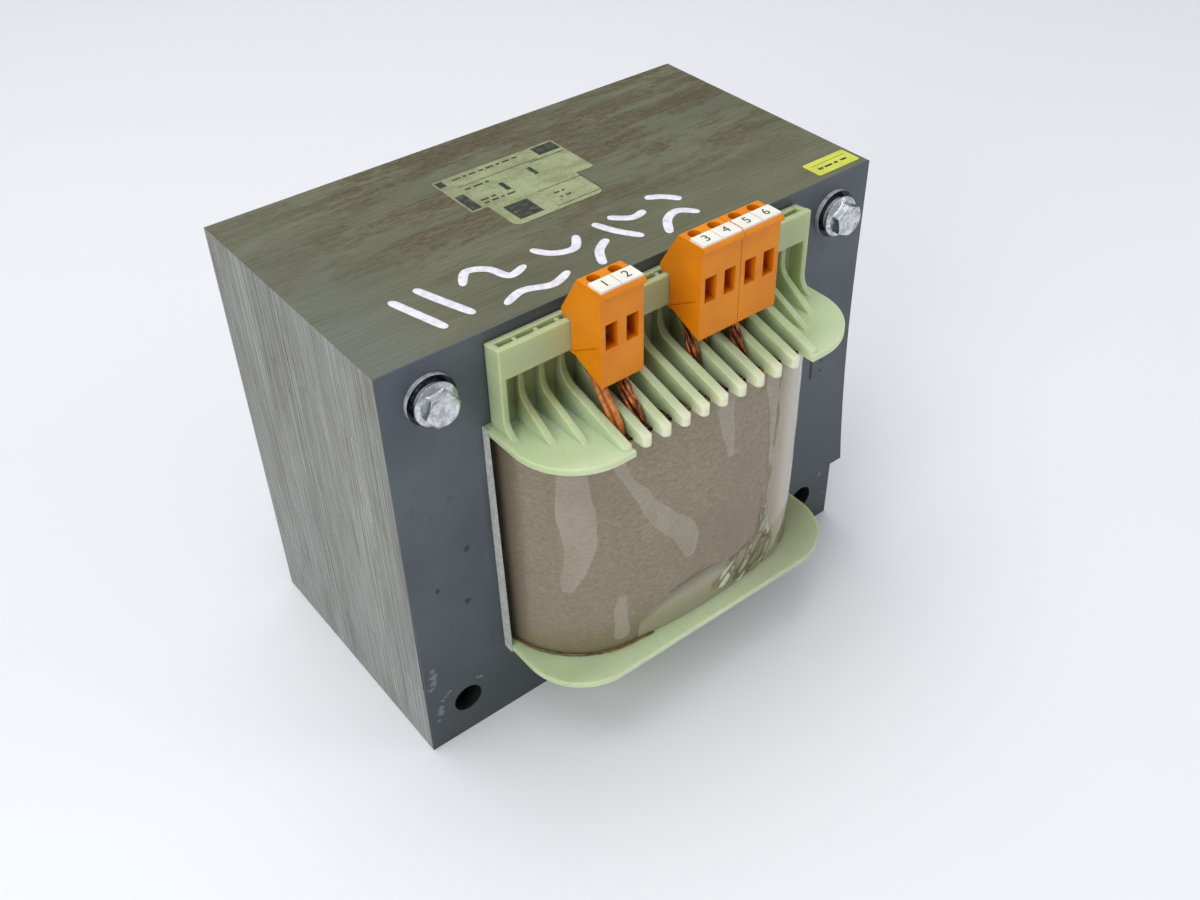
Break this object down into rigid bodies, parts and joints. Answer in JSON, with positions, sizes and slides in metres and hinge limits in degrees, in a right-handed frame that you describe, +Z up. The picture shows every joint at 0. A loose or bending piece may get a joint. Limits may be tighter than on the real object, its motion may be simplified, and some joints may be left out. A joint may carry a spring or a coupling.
{
  "type": "laminated chassis transformer",
  "caption": "Open core-and-coil power transformer: bolted EI lamination stack, moulded bobbin with combed flange, wrapped coil and clip-on screw terminals; bolts to a chassis by its lower holes",
  "frame": {"origin": "middle of the underside of the lamination stack, which is also the middle of the whole part's plan", "axes": "+X along the width of the core, +Y through the stack from the terminal side to the back, +Z up"},
  "size_m": [0.192, 0.178, 0.1733],
  "materials": {
    "core_steel": "cut edges of varnished silicon steel sheet, streaked with light rust",
    "face_steel": "dark blue-grey oxide coating, satin, lightly scuffed",
    "bobbin_plastic": "moulded glass-filled nylon, pale green",
    "enamelled_wire": "enamelled copper, layer wound",
    "insulation_paper": "plain insulating paper",
    "wrap_paper": "brown-beige pressboard with fine speckle",
    "clear_film": "clear glossy polyester film, slightly wrinkled",
    "liner_board": "grey slot insulation sheet",
    "terminal_plastic": "moulded nylon, orange, satin",
    "zinc_steel": "bright zinc plate",
    "bar_brass": "tinned brass strip",
    "tag_plastic": "white moulded tag",
    "sleeved_wire": "copper wire in varnished brown-red sleeving",
    "label_foil": "aged yellow-green foil label",
    "sticker_foil": "plain yellow sticker"
  },
  "bodies": {
    "root": {"e_laminations_upright": "core_steel", "e_laminations_inverted": "core_steel", "i_laminations_lower": "core_steel", "i_laminations_upper": "core_steel", "front_e_lamination": "face_steel", "front_i_lamination": "face_steel", "bobbin": "bobbin_plastic", "secondary_winding": "enamelled_wire", "interwinding_insulation": "insulation_paper", "primary_winding": "enamelled_wire", "paper_wrap": "wrap_paper", "film_wrap": "clear_film", "slot_liners": "liner_board", "terminal_block_left": "terminal_plastic", "terminal_block_middle": "terminal_plastic", "terminal_block_right": "terminal_plastic", "clamp_cages": "zinc_steel", "clamp_screws": "zinc_steel", "current_bars": "bar_brass", "marker_tags": "tag_plastic", "secondary_leads": "sleeved_wire", "primary_leads": "sleeved_wire", "core_bolts": "zinc_steel", "front_washers": "zinc_steel", "spring_washers": "zinc_steel", "rear_washers": "zinc_steel", "core_nuts": "zinc_steel", "rating_label": "label_foil", "inspection_sticker": "sticker_foil"}
  },
  "joints": []
}
